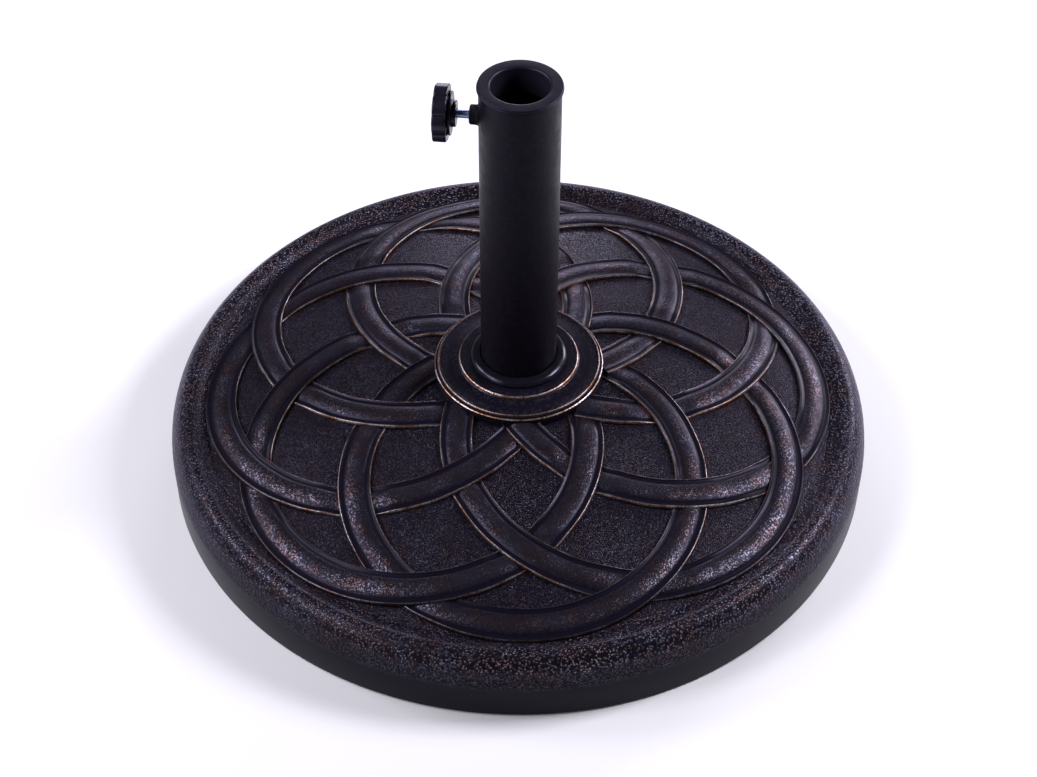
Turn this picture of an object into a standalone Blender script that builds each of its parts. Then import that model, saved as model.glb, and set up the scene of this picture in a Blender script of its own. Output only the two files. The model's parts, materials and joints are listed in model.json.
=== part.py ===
"""Parasol base: a cast disc with eight interlaced bands, a steel tube and a side clamping knob.

The row frame has its origin on the ground at the disc's centre, with +Z up the tube. The clamping
screw lies along X, with its knob on the -X side. All lengths are in metres.
"""

import math

import bmesh
import bpy
from mathutils import Vector

# Driving dimensions
BASE_RADIUS = 0.254
TOTAL_HEIGHT = 0.3244
TUBE_OUTER = 0.027
POLE_BORE = 0.0193
SCREW_HEIGHT = 0.2988
SCREW_RADIUS = 0.0029
GAP = 0.0003

# Cast disc: side, shoulder, valley and the spherical dome inside it
RIM_FOOT = 0.0012
RIM_FOOT_FILLET = 0.001
SIDE_TOP = 0.026
SHOULDER_WIDTH = 0.0148
SHOULDER_RISE = 0.0245
VALLEY_RADIUS = 0.226
DOME_CROWN = 0.0765
DOME_SPHERE = 0.811
SHELL_WALL = 0.007

# Stepped boss at the disc's centre
BOSS_RADIUS = 0.0609
BOSS_EDGE = 0.0814
BOSS_LIP_RADIUS = 0.0583
BOSS_LIP = 0.0834
BOSS_STEP_RADIUS = 0.0427
BOSS_STEP_FOOT = 0.0841
BOSS_TOP = 0.0864

# Interlaced bands on the dome
BAND_COUNT = 8
BAND_PHASE = math.radians(7.3)
BAND_ORBIT = 0.394 * BASE_RADIUS
BAND_OUTER = 0.505 * BASE_RADIUS
BAND_WIDTH = 0.023
BAND_HEIGHT = 0.0031
BAND_DRAFT = 0.0008
BAND_ROOT = 0.003
WEAVE_LIFT = 0.0005
CROSSING_STEP = math.pi / BAND_COUNT

# Tube and what holds its foot
TUBE_WALL = 0.0015
TUBE_FOOT = 0.0303
COLLAR_RADIUS = 0.0282
COLLAR_THICKNESS = 0.0025
BUSH_SKIRT = 0.0180
PLUG_THICKNESS = 0.0095
SEAT_RADIUS = 0.0175
SEAT_RISE = 0.002
BOLT_RADIUS = 0.005
BOLT_HEAD_FLATS = 0.017
BOLT_HEAD_HEIGHT = 0.0064
BOLT_ENTRY = 0.006
RECESS_RADIUS = 0.036
RECESS_TOP = 0.018
WASHER_RADIUS = 0.032
WASHER_THICKNESS = 0.003
LOCK_WASHER_RADIUS = 0.009
LOCK_WASHER_THICKNESS = 0.0022
GASKET_RADIUS = 0.0344
GASKET_HEIGHT = 0.0042
GASKET_LIP = 0.0011

# Underside
PAN_BOTTOM = 0.003
PAN_THICKNESS = 0.003
PAN_SCREW_COUNT = 6
PAN_SCREW_ORBIT = 0.150
PAN_SCREW_RADIUS = 0.002
PAN_SCREW_LENGTH = 0.014
PAN_SCREW_POINT = 0.003
PAN_SCREW_HEAD_RADIUS = 0.004
PAN_SCREW_HEAD_HEIGHT = 0.0016
FOOT_COUNT = 6
FOOT_ORBIT = 0.225
FOOT_RADIUS = 0.012
FOOT_CHAMFER = 0.0008

# Clamping screw and knob, by distance from the tube's axis towards -X
NUT_FLATS = 0.0115
NUT_INNER = TUBE_OUTER + GAP
NUT_OUTER = 0.0327
HUB_FACE = 0.0411
HUB_RADIUS = 0.0088
STEP_FACE = 0.0441
STEP_BACK = 0.0454
STEP_RADIUS = 0.0145
GRIP_BACK = 0.0464
GRIP_FRONT = 0.0555
GRIP_RADIUS = 0.019
GRIP_VALLEY = 0.0172
GRIP_LOBES = 8
GRIP_PHASE = math.radians(7.5)
HEAD_FLATS = 0.010
HEAD_BACK = 0.0482
HEAD_FRONT = 0.0522
CAP_RADIUS = 0.0072
CAP_THICKNESS = 0.002
CAP_DOME = 0.0004
CAP_BEVEL = 0.001
CAP_EDGE = 0.0006
SHANK_END = 0.0235
SPIGOT_END = 0.0218
SPIGOT_RADIUS = 0.0012
TIP_FACE = 0.0202
TIP_RADIUS = 0.0024
TIP_CHAMFER = 0.0006
INSIDE_TUBE = 0.02
BEYOND_GRIP = 0.06

# Facets round each kind of circle
DISC_SEGMENTS = 72
TUBE_SEGMENTS = 48
SMALL_SEGMENTS = 24
BAND_SEGMENTS = 40


def clear_scene():
    """Remove every object of the open file."""
    for old in list(bpy.data.objects):
        bpy.data.objects.remove(old, do_unlink=True)


def make_collection(name):
    collection = bpy.data.collections.new(name)
    bpy.context.scene.collection.children.link(collection)
    return collection


clear_scene()
PARTS = make_collection("parasol_base")
CUTTERS = make_collection("cutters")
BANDS = make_collection("bands")


def make_material(name, color, roughness, metallic):
    """A Principled material with the piece's colour, roughness and metallic value."""
    material = bpy.data.materials.new(name)
    material.use_nodes = True
    shader = material.node_tree.nodes["Principled BSDF"]
    shader.inputs["Base Color"].default_value = (*color, 1.0)
    shader.inputs["Roughness"].default_value = roughness
    shader.inputs["Metallic"].default_value = metallic
    return material


BRONZED_RESIN = make_material("bronzed_resin", (0.030, 0.025, 0.024), 0.45, 0.3)
CEMENT = make_material("cement", (0.42, 0.41, 0.39), 0.95, 0.0)
BLACK_PLASTIC = make_material("black_plastic", (0.018, 0.018, 0.020), 0.42, 0.0)
BLACK_RUBBER = make_material("black_rubber", (0.015, 0.015, 0.015), 0.75, 0.0)
POWDER_COAT = make_material("powder_coat", (0.017, 0.016, 0.019), 0.40, 0.2)
ZINC_STEEL = make_material("zinc_steel", (0.56, 0.58, 0.62), 0.30, 1.0)
WHITE_NYLON = make_material("white_nylon", (0.75, 0.74, 0.70), 0.50, 0.0)


def smooth(piece):
    """Shade a piece smooth, with its edges over 35 degrees kept sharp."""
    piece.data.shade_smooth()
    piece.data.set_sharp_from_angle(angle=math.radians(35))


def add_mesh(name, mesh, collection, material=None):
    piece = bpy.data.objects.new(name, mesh)
    collection.objects.link(piece)
    if material:
        mesh.materials.append(material)
    return piece


def turned(name, outline, segments, material=None, collection=None):
    """Turn an outline of (radius, height) points round Z with a Screw modifier.

    The outline closes on itself, or along the axis where its two ends are at radius 0.
    """
    on_axis = outline[0][0] == 0 and outline[-1][0] == 0
    area = sum(a[0] * b[1] - b[0] * a[1] for a, b in zip(outline, outline[1:] + outline[:1]))
    points = outline if area < 0 else outline[::-1]
    edges = [(i, i + 1) for i in range(len(points) - 1)]
    if not on_axis:
        edges.append((len(points) - 1, 0))
    mesh = bpy.data.meshes.new(name)
    mesh.from_pydata([(r, 0, z) for r, z in points], edges, [])
    piece = add_mesh(name, mesh, collection or PARTS, material)
    screw = piece.modifiers.new("turn", "SCREW")
    screw.steps = screw.render_steps = segments
    screw.use_merge_vertices = True
    screw.merge_threshold = 0.00002
    screw.use_smooth_shade = True
    return piece


def ring(name, inner, outer, low, high, segments, material):
    """A plain ring: a washer, a bush or a short tube."""
    outline = [(inner, high), (outer, high), (outer, low), (inner, low)]
    return turned(name, outline, segments, material)


def prism(name, sides, radius, low, high, collection, material=None):
    """An upright prism or cylinder that stands from low to high."""
    shape = bmesh.new()
    bmesh.ops.create_cone(
        shape, cap_ends=True, segments=sides, radius1=radius, radius2=radius, depth=high - low
    )
    bmesh.ops.translate(shape, verts=shape.verts, vec=(0, 0, (low + high) / 2))
    mesh = bpy.data.meshes.new(name)
    shape.to_mesh(mesh)
    shape.free()
    return add_mesh(name, mesh, collection, material)


def cutter(name, sides, radius, low, high):
    """A wire-drawn prism that only cuts other pieces."""
    tool = prism(name, sides, radius, low, high, CUTTERS)
    tool.hide_render = True
    tool.display_type = "WIRE"
    return tool


def cut(piece, *tools):
    for tool in tools:
        boolean = piece.modifiers.new("cut_" + tool.name, "BOOLEAN")
        boolean.operation = "DIFFERENCE"
        boolean.object = tool


def arc(centre, radii, start, end, steps):
    """Points of an ellipse's arc round centre, with angles in degrees from +radius."""
    angles = [math.radians(start + (end - start) * i / steps) for i in range(steps + 1)]
    return [(centre[0] + radii[0] * math.cos(a), centre[1] + radii[1] * math.sin(a)) for a in angles]


def fall(start, end, steps):
    """Points of an S-curve between two (radius, height) points, without its ends."""
    points = []
    for i in range(1, steps):
        share = i / steps
        drop = (1 - math.cos(math.pi * share)) / 2
        radius = start[0] + (end[0] - start[0]) * share
        points.append((radius, start[1] + (end[1] - start[1]) * drop))
    return points


def lay_on_screw_axis(piece):
    """Turn a piece made along +Z so that its +Z points out along -X at the screw's height."""
    piece.location = (0, 0, SCREW_HEIGHT)
    piece.rotation_euler = (0, math.radians(-90), 0)


def dome(radius):
    """Height of the dome's floor at a distance from the axis."""
    return DOME_CROWN - DOME_SPHERE + math.sqrt(DOME_SPHERE**2 - radius**2)


def weave(crossing):
    """Lift of a band by its place between crossings: 1 where it passes over, -1 where under."""
    if abs(crossing) < 1:
        return math.sin(math.pi * crossing / 2)
    return -math.copysign(math.cos(math.pi * crossing), crossing)


# ---------------------------------------------------------------- disc


def shell_outline():
    """Outer and inner outline of the cast disc, from the rim's foot over the top to the tube."""
    side = BASE_RADIUS
    fillet = RIM_FOOT_FILLET
    foot = arc((side - fillet, RIM_FOOT + fillet), (fillet, fillet), -90, 0, 2)
    shoulder_centre = (side - SHOULDER_WIDTH, SIDE_TOP)
    shoulder = arc(shoulder_centre, (SHOULDER_WIDTH, SHOULDER_RISE), 0, 90, 5)
    slope = fall(shoulder[-1], (VALLEY_RADIUS, dome(VALLEY_RADIUS)), 4)
    floor = [VALLEY_RADIUS + (BOSS_RADIUS - VALLEY_RADIUS) * i / 5 for i in range(6)]
    boss = [
        (BOSS_RADIUS, BOSS_EDGE - 0.0006),
        (BOSS_LIP_RADIUS, BOSS_LIP),
        (BOSS_LIP_RADIUS - 0.0008, BOSS_LIP - 0.0006),
        (BOSS_STEP_RADIUS, BOSS_STEP_FOOT),
        (BOSS_STEP_RADIUS, BOSS_TOP),
        (TUBE_OUTER / 2, BOSS_TOP),
    ]
    inner_side = side - SHELL_WALL
    ceiling = arc((inner_side - 0.02, SIDE_TOP - 0.006), (0.02, 0.018), 0, 90, 2)
    inner = [(radius, dome(radius) - SHELL_WALL) for radius in (0.060, 0.120, 0.175)]
    inside = [(TUBE_OUTER / 2, DOME_CROWN - SHELL_WALL)] + inner + ceiling[::-1]
    outside = foot + shoulder + slope + [(radius, dome(radius)) for radius in floor] + boss
    return outside + inside + [(inner_side, RIM_FOOT)]


def band_path(index):
    """Closed path of one band on the dome, woven over and under its neighbours."""
    heading = BAND_PHASE + index * 2 * math.pi / BAND_COUNT
    middle = BAND_OUTER - BAND_WIDTH / 2
    centre = Vector((BAND_ORBIT * math.cos(heading), BAND_ORBIT * math.sin(heading)))
    points = []
    for i in range(BAND_SEGMENTS):
        turn = heading + 2 * math.pi * i / BAND_SEGMENTS
        place = centre + middle * Vector((math.cos(turn), math.sin(turn)))
        polar = math.remainder(math.atan2(place.y, place.x) - heading, 2 * math.pi)
        lift = WEAVE_LIFT * weave(polar / CROSSING_STEP)
        points.append((place.x, place.y, dome(place.length) + lift))
    return points


def band_section():
    """Cross-section of the bands, a low trapezium rooted in the floor."""
    half = BAND_WIDTH / 2
    curve = bpy.data.curves.new("band_section", "CURVE")
    spline = curve.splines.new("POLY")
    corners = [
        (-half, -BAND_ROOT),
        (half, -BAND_ROOT),
        (half - BAND_DRAFT, BAND_HEIGHT),
        (BAND_DRAFT - half, BAND_HEIGHT),
    ]
    spline.points.add(len(corners) - 1)
    for point, (x, y) in zip(spline.points, corners):
        point.co = (x, y, 0, 1)
    spline.use_cyclic_u = True
    section = bpy.data.objects.new("band_section", curve)
    section.hide_render = True
    CUTTERS.objects.link(section)
    return section


def make_bands():
    """The eight bands as closed meshes, which the disc joins to itself."""
    section = band_section()
    for index in range(BAND_COUNT):
        curve = bpy.data.curves.new("band_path", "CURVE")
        curve.dimensions = "3D"
        curve.twist_mode = "Z_UP"
        curve.bevel_mode = "OBJECT"
        curve.bevel_object = section
        spline = curve.splines.new("POLY")
        path = band_path(index)
        spline.points.add(len(path) - 1)
        for point, place in zip(spline.points, path):
            point.co = (*place, 1)
        spline.use_cyclic_u = True
        swept = bpy.data.objects.new("band_path", curve)
        BANDS.objects.link(swept)
        bpy.context.view_layer.update()
        evaluated = swept.evaluated_get(bpy.context.evaluated_depsgraph_get())
        mesh = bpy.data.meshes.new_from_object(evaluated)
        bpy.data.objects.remove(swept, do_unlink=True)
        shape = bmesh.new()
        shape.from_mesh(mesh)
        bmesh.ops.remove_doubles(shape, verts=shape.verts, dist=0.00001)
        bmesh.ops.triangulate(shape, faces=shape.faces)
        bmesh.ops.recalc_face_normals(shape, faces=shape.faces)
        shape.to_mesh(mesh)
        shape.free()
        band = add_mesh("band_" + str(index + 1), mesh, BANDS)
        band.hide_render = True
        band.display_type = "WIRE"


def make_disc():
    """Cast shell with its bands, the cement ballast inside it, and the tube's hole through it."""
    shell = turned("cast_shell", shell_outline(), DISC_SEGMENTS, BRONZED_RESIN)
    make_bands()
    join = shell.modifiers.new("join_bands", "BOOLEAN")
    join.operation = "UNION"
    join.operand_type = "COLLECTION"
    join.collection = BANDS
    cut(shell, cutter("tube_hole", TUBE_SEGMENTS, TUBE_OUTER + GAP, 0.06, 0.1))

    top = DOME_CROWN - SHELL_WALL - GAP
    side = BASE_RADIUS - SHELL_WALL - GAP
    bottom = PAN_BOTTOM + PAN_THICKNESS + GAP
    hole = TUBE_OUTER + GAP
    ceiling = arc((side - 0.02, SIDE_TOP - 0.007), (0.02, 0.018), 0, 90, 2)
    roof = [(radius, dome(radius) - SHELL_WALL - GAP * 3) for radius in (0.175, 0.120, 0.060)]
    outline = [(side, bottom)] + ceiling + roof + [(hole, top - GAP * 2)]
    outline += [(hole, TUBE_FOOT - GAP), (BOLT_RADIUS + GAP, TUBE_FOOT - GAP)]
    outline += [(BOLT_RADIUS + GAP, RECESS_TOP), (RECESS_RADIUS, RECESS_TOP), (RECESS_RADIUS, bottom)]
    core = turned("ballast_core", outline, TUBE_SEGMENTS, CEMENT)
    pilots = [
        cutter(f"pilot_{i}", SMALL_SEGMENTS // 2, PAN_SCREW_RADIUS + GAP, 0, PAN_SCREW_LENGTH + 0.006)
        for i in range(PAN_SCREW_COUNT)
    ]
    for place, pilot in zip(around(PAN_SCREW_COUNT, PAN_SCREW_ORBIT), pilots):
        pilot.location = place
    cut(core, *pilots)
    return pilots


def around(count, orbit, offset=0.5):
    """Evenly spaced places on a circle in the ground plane."""
    angles = [2 * math.pi * (i + offset) / count for i in range(count)]
    return [Vector((orbit * math.cos(a), orbit * math.sin(a), 0)) for a in angles]


def make_underside(pilots):
    """Closing pan, its screws, and the six feet that the base stands on."""
    pan_radius = BASE_RADIUS - SHELL_WALL - GAP
    pan_top = PAN_BOTTOM + PAN_THICKNESS
    pan = ring("underside_pan", RECESS_RADIUS, pan_radius, PAN_BOTTOM, pan_top, DISC_SEGMENTS, BLACK_PLASTIC)
    cut(pan, *pilots)

    head_top = PAN_BOTTOM - GAP
    head_bottom = head_top - PAN_SCREW_HEAD_HEIGHT
    outline = [
        (0, head_top + PAN_SCREW_LENGTH),
        (PAN_SCREW_RADIUS, head_top + PAN_SCREW_LENGTH - PAN_SCREW_POINT),
        (PAN_SCREW_RADIUS, head_top),
        (PAN_SCREW_HEAD_RADIUS, head_top),
        (PAN_SCREW_HEAD_RADIUS * 0.8, head_bottom),
        (0, head_bottom),
    ]
    for i, place in enumerate(around(PAN_SCREW_COUNT, PAN_SCREW_ORBIT)):
        pan_screw = turned(f"pan_screw_{i + 1}", outline, SMALL_SEGMENTS // 2, ZINC_STEEL)
        pan_screw.location = place

    foot_top = PAN_BOTTOM - GAP
    for i, place in enumerate(around(FOOT_COUNT, FOOT_ORBIT, offset=0)):
        outline = [
            (0, foot_top),
            (FOOT_RADIUS, foot_top),
            (FOOT_RADIUS, FOOT_CHAMFER),
            (FOOT_RADIUS - FOOT_CHAMFER, 0),
            (0, 0),
        ]
        foot = turned(f"foot_{i + 1}", outline, SMALL_SEGMENTS, BLACK_RUBBER)
        foot.location = place


# ---------------------------------------------------------------- tube


def make_tube():
    """Steel tube with its welded end plug, the bolt from below, the gasket and the top bush."""
    tube_top = TOTAL_HEIGHT - COLLAR_THICKNESS - GAP
    tube_inner = TUBE_OUTER - TUBE_WALL
    tube = ring("tube", tube_inner, TUBE_OUTER, TUBE_FOOT, tube_top, TUBE_SEGMENTS, POWDER_COAT)
    screw_hole = cutter("screw_hole", SMALL_SEGMENTS, SCREW_RADIUS + GAP, INSIDE_TUBE, NUT_OUTER)
    lay_on_screw_axis(screw_hole)
    cut(tube, screw_hole)

    plug_top = TUBE_FOOT + PLUG_THICKNESS
    thread = BOLT_RADIUS + GAP
    thread_top = TUBE_FOOT + BOLT_ENTRY + GAP
    outline = [
        (0, plug_top + SEAT_RISE),
        (SEAT_RADIUS, plug_top + SEAT_RISE),
        (SEAT_RADIUS + SEAT_RISE, plug_top),
        (tube_inner - GAP, plug_top),
        (tube_inner - GAP, TUBE_FOOT),
        (thread, TUBE_FOOT),
        (thread, thread_top),
        (0, thread_top),
    ]
    turned("tube_end_plug", outline, TUBE_SEGMENTS, ZINC_STEEL)

    washer_top = RECESS_TOP - GAP
    washer_bottom = washer_top - WASHER_THICKNESS
    hole = BOLT_RADIUS + GAP
    ring("clamp_washer", hole, WASHER_RADIUS, washer_bottom, washer_top, TUBE_SEGMENTS, ZINC_STEEL)
    lock_top = washer_bottom - GAP
    lock_bottom = lock_top - LOCK_WASHER_THICKNESS
    ring("lock_washer", hole, LOCK_WASHER_RADIUS, lock_bottom, lock_top, SMALL_SEGMENTS, ZINC_STEEL)
    head_top = lock_bottom - GAP
    head_radius = BOLT_HEAD_FLATS / 2 / math.cos(math.pi / 6)
    bolt = prism("clamp_bolt", 6, head_radius, head_top - BOLT_HEAD_HEIGHT, head_top, PARTS, ZINC_STEEL)
    shank_low = head_top - BOLT_HEAD_HEIGHT / 2
    shank = prism("bolt_shank", SMALL_SEGMENTS, BOLT_RADIUS, shank_low, TUBE_FOOT + BOLT_ENTRY, CUTTERS)
    join(bolt, shank)

    inner = TUBE_OUTER + GAP
    foot = BOSS_TOP + GAP
    crest = inner + GASKET_LIP
    swell = arc((crest, foot), (GASKET_RADIUS - crest, GASKET_HEIGHT), 0, 90, 6)
    lip = arc((crest, foot + GASKET_HEIGHT - GASKET_LIP), (GASKET_LIP, GASKET_LIP), 90, 180, 2)
    turned("tube_gasket", swell + lip[1:] + [(inner, foot)], TUBE_SEGMENTS, BLACK_RUBBER)


def join(piece, *added):
    """Union of a piece with others that then go into the cutters' collection."""
    for other in added:
        other.hide_render = True
        other.display_type = "WIRE"
        boolean = piece.modifiers.new("join_" + other.name, "BOOLEAN")
        boolean.operation = "UNION"
        boolean.object = other


def make_bush():
    """Plastic bush that lines the tube's mouth down to the pole's size and lifts out."""
    skirt = TUBE_OUTER - TUBE_WALL - GAP
    collar_bottom = TOTAL_HEIGHT - COLLAR_THICKNESS
    edge = 0.001
    lip = 0.0018
    rim = arc((COLLAR_RADIUS - edge, TOTAL_HEIGHT - edge), (edge, edge), 0, 90, 3)
    mouth = arc((POLE_BORE + lip, TOTAL_HEIGHT - lip), (lip, lip), 90, 180, 4)
    skirt_end = collar_bottom - BUSH_SKIRT
    outline = [(COLLAR_RADIUS, collar_bottom)] + rim + mouth
    outline += [(POLE_BORE, skirt_end), (skirt, skirt_end), (skirt, collar_bottom)]
    turned("reducer_bush", outline, TUBE_SEGMENTS, BLACK_PLASTIC)


# ---------------------------------------------------------------- clamping screw


def lobed_outline(points_per_lobe=6):
    """Outline of the grip: eight rounded lobes that meet in narrow valleys."""
    count = GRIP_LOBES * points_per_lobe
    outline = []
    for i in range(count):
        turn = 2 * math.pi * i / count
        swell = abs(math.cos(GRIP_LOBES * turn / 2)) ** 0.6
        radius = GRIP_VALLEY + (GRIP_RADIUS - GRIP_VALLEY) * swell
        turn += GRIP_PHASE
        outline.append((radius * math.cos(turn), radius * math.sin(turn)))
    return outline


def make_grip():
    """Lobed grip with its stepped hub towards the tube and a socket for the screw's head."""
    curve = bpy.data.curves.new("knob_outline", "CURVE")
    curve.dimensions = "2D"
    curve.fill_mode = "BOTH"
    edge = 0.0006
    curve.extrude = (GRIP_FRONT - GRIP_BACK) / 2 - edge
    curve.bevel_depth = edge
    curve.bevel_resolution = 0
    curve.offset = -edge
    spline = curve.splines.new("POLY")
    outline = lobed_outline()
    spline.points.add(len(outline) - 1)
    for point, (x, y) in zip(spline.points, outline):
        point.co = (x, y, 0, 1)
    spline.use_cyclic_u = True
    drawn = bpy.data.objects.new("knob_outline", curve)
    PARTS.objects.link(drawn)
    bpy.context.view_layer.update()
    evaluated = drawn.evaluated_get(bpy.context.evaluated_depsgraph_get())
    mesh = bpy.data.meshes.new_from_object(evaluated)
    bpy.data.objects.remove(drawn, do_unlink=True)
    shape = bmesh.new()
    shape.from_mesh(mesh)
    bmesh.ops.remove_doubles(shape, verts=shape.verts, dist=0.00001)
    bmesh.ops.recalc_face_normals(shape, faces=shape.faces)
    bmesh.ops.translate(shape, verts=shape.verts, vec=(0, 0, (GRIP_FRONT + GRIP_BACK) / 2))
    shape.to_mesh(mesh)
    shape.free()
    grip = add_mesh("knob_grip", mesh, PARTS, BLACK_PLASTIC)
    overlap = 0.002
    step = prism("grip_step", SMALL_SEGMENTS, STEP_RADIUS, STEP_FACE, STEP_BACK, CUTTERS)
    hub = prism("grip_hub", SMALL_SEGMENTS, HUB_RADIUS, HUB_FACE, GRIP_BACK + overlap, CUTTERS)
    join(grip, step, hub)
    head_radius = HEAD_FLATS / 2 / math.cos(math.pi / 6) + GAP * 1.2
    bore = cutter("grip_bore", SMALL_SEGMENTS, SCREW_RADIUS + GAP, INSIDE_TUBE, BEYOND_GRIP)
    socket = cutter("grip_socket", 6, head_radius, HEAD_BACK - GAP, BEYOND_GRIP)
    seat_back = GRIP_FRONT - CAP_THICKNESS - GAP
    cap_seat = cutter("grip_cap_seat", SMALL_SEGMENTS, CAP_RADIUS + GAP, seat_back, BEYOND_GRIP)
    cut(grip, bore, socket, cap_seat)
    for piece in (grip, step, hub, bore, socket, cap_seat):
        lay_on_screw_axis(piece)


def make_screw():
    """Clamping screw, the nut welded to the tube, the grip's cap and the swivelling tip."""
    head_radius = HEAD_FLATS / 2 / math.cos(math.pi / 6)
    screw = prism("clamp_screw", 6, head_radius, HEAD_BACK, HEAD_FRONT, PARTS, ZINC_STEEL)
    shank = prism("screw_shank", SMALL_SEGMENTS, SCREW_RADIUS, SHANK_END, HEAD_BACK + 0.002, CUTTERS)
    spigot = prism("screw_spigot", SMALL_SEGMENTS // 2, SPIGOT_RADIUS, SPIGOT_END, SHANK_END + 0.002, CUTTERS)
    join(screw, shank, spigot)

    nut_radius = NUT_FLATS / 2 / math.cos(math.pi / 6)
    nut = prism("weld_nut", 6, nut_radius, NUT_INNER, NUT_OUTER, PARTS, POWDER_COAT)
    thread = cutter("nut_thread", SMALL_SEGMENTS, SCREW_RADIUS + GAP, INSIDE_TUBE, GRIP_BACK)
    cut(nut, thread)

    cap_back = GRIP_FRONT - CAP_THICKNESS
    cap_outline = [(0, GRIP_FRONT + CAP_DOME), (CAP_RADIUS - CAP_BEVEL, GRIP_FRONT)]
    cap_outline += [(CAP_RADIUS, GRIP_FRONT - CAP_EDGE), (CAP_RADIUS, cap_back), (0, cap_back)]
    cap = turned("knob_cap", cap_outline, SMALL_SEGMENTS, BLACK_PLASTIC)

    socket = SPIGOT_RADIUS + GAP
    tip_top = SHANK_END - GAP
    tip_outline = [(0, SPIGOT_END - GAP), (socket, SPIGOT_END - GAP), (socket, tip_top)]
    tip_outline += [(TIP_RADIUS, tip_top), (TIP_RADIUS, TIP_FACE + TIP_CHAMFER)]
    tip_outline += [(TIP_RADIUS - TIP_CHAMFER, TIP_FACE), (0, TIP_FACE)]
    tip = turned("pressure_tip", tip_outline, SMALL_SEGMENTS // 2, WHITE_NYLON)
    for piece in (screw, shank, spigot, nut, thread, cap, tip):
        lay_on_screw_axis(piece)


def main():
    pilots = make_disc()
    make_underside(pilots)
    make_tube()
    make_bush()
    make_grip()
    make_screw()
    for piece in PARTS.objects:
        smooth(piece)


main()
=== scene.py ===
"""Parasol base: detailed meshes, materials, light and camera over the CAD frame.

Lengths are metres in the part's frame: the origin is on the ground under the tube, +Z is up the tube, and
the clamping screw points along -X. Outlines are lists of (radius, height) points.
"""

import json
import math

import bmesh
import bpy
import numpy as np
from mathutils import Matrix, Vector

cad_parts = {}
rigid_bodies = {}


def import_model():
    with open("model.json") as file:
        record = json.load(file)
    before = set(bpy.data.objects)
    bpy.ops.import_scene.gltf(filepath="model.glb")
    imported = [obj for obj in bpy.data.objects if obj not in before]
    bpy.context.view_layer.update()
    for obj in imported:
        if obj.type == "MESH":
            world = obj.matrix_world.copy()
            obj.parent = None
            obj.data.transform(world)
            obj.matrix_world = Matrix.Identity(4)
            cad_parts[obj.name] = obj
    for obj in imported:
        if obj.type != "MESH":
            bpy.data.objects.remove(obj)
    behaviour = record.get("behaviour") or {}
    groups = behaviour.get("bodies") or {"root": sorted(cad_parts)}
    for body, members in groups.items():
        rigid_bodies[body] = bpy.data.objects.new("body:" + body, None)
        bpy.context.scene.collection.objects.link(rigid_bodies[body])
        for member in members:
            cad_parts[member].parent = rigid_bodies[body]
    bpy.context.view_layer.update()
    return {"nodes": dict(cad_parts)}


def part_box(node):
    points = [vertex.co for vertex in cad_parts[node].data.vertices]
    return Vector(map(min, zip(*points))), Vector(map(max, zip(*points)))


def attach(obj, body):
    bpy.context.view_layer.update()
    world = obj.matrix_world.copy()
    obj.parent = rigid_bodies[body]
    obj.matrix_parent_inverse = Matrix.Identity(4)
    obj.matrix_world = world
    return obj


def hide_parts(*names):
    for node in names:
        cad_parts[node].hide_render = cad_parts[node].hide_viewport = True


MM = 0.001

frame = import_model()


def corners(node):
    """Lowest and highest corner of a CAD node."""
    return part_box(node)


# Sizes read from the frame
BASE_RADIUS = corners("cast_shell")[1].x
RIM_FOOT = corners("cast_shell")[0].z
BOSS_TOP = corners("cast_shell")[1].z
TUBE_RADIUS = corners("tube")[1].x
TUBE_FOOT = corners("tube")[0].z
TUBE_TOP = corners("tube")[1].z
BUSH_RADIUS = corners("reducer_bush")[1].x
BUSH_TOP = corners("reducer_bush")[1].z
BUSH_FOOT = corners("reducer_bush")[0].z
GASKET_RADIUS = corners("tube_gasket")[1].x
GASKET_FOOT = corners("tube_gasket")[0].z
GASKET_TOP = corners("tube_gasket")[1].z
SCREW_HEIGHT = (corners("weld_nut")[0].z + corners("weld_nut")[1].z) / 2
NUT_OUTER = -corners("weld_nut")[0].x
NUT_INNER = -corners("weld_nut")[1].x
GRIP_FRONT = -corners("knob_grip")[0].x
HUB_FACE = -corners("knob_grip")[1].x
SCREW_TIP = -corners("clamp_screw")[1].x
TIP_FACE = -corners("pressure_tip")[1].x
TIP_MOUTH = -corners("pressure_tip")[0].x
CAP_RADIUS = corners("knob_cap")[1].y
FOOT_TOP = corners("foot_1")[1].z
FOOT_RADIUS = (corners("foot_1")[1].x - corners("foot_1")[0].x) / 2
PAN_RADIUS = corners("underside_pan")[1].x
PAN_FOOT = corners("underside_pan")[0].z
PAN_TOP = corners("underside_pan")[1].z

# Disc
TUBE_HOLE = TUBE_RADIUS + 0.3 * MM
SIDE_TOP = 26 * MM
SHOULDER_WIDTH = 14.8 * MM
SHOULDER_RISE = 24.5 * MM
VALLEY_RADIUS = 226 * MM
DOME_CROWN = 76.5 * MM
DOME_SPHERE = 811 * MM
SHELL_WALL = 7 * MM
DISC_SEGMENTS = 256

# Boss: two stepped rings round a plate, as (radius, height) points in millimetres from its foot inwards
BOSS_OUTER_RING = ((60.9, 80.0), (60.7, 80.9), (60.2, 81.35), (59.6, 81.35), (59.1, 81.0), (58.9, 81.9))
BOSS_OUTER_RING += ((58.5, 82.9), (57.9, 83.4), (57.2, 83.4), (56.6, 83.0), (55.8, 82.8))
BOSS_PLATE = ((50.0, 83.4), (43.8, 84.1))
BOSS_INNER_RING = ((43.3, 84.5), (43.0, 85.4), (42.5, 86.1), (41.8, 86.4), (41.0, 86.4), (39.5, 86.25))
BOSS_SEAT = ((36.0, 86.3),)
BOSS_RADIUS = BOSS_OUTER_RING[0][0] * MM
# Bronze lines on the boss: radius of each, and how far it spreads
BOSS_LINES = ((60.5 * MM, 0.7 * MM), (57.9 * MM, 0.6 * MM), (42.6 * MM, 0.6 * MM))

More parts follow.
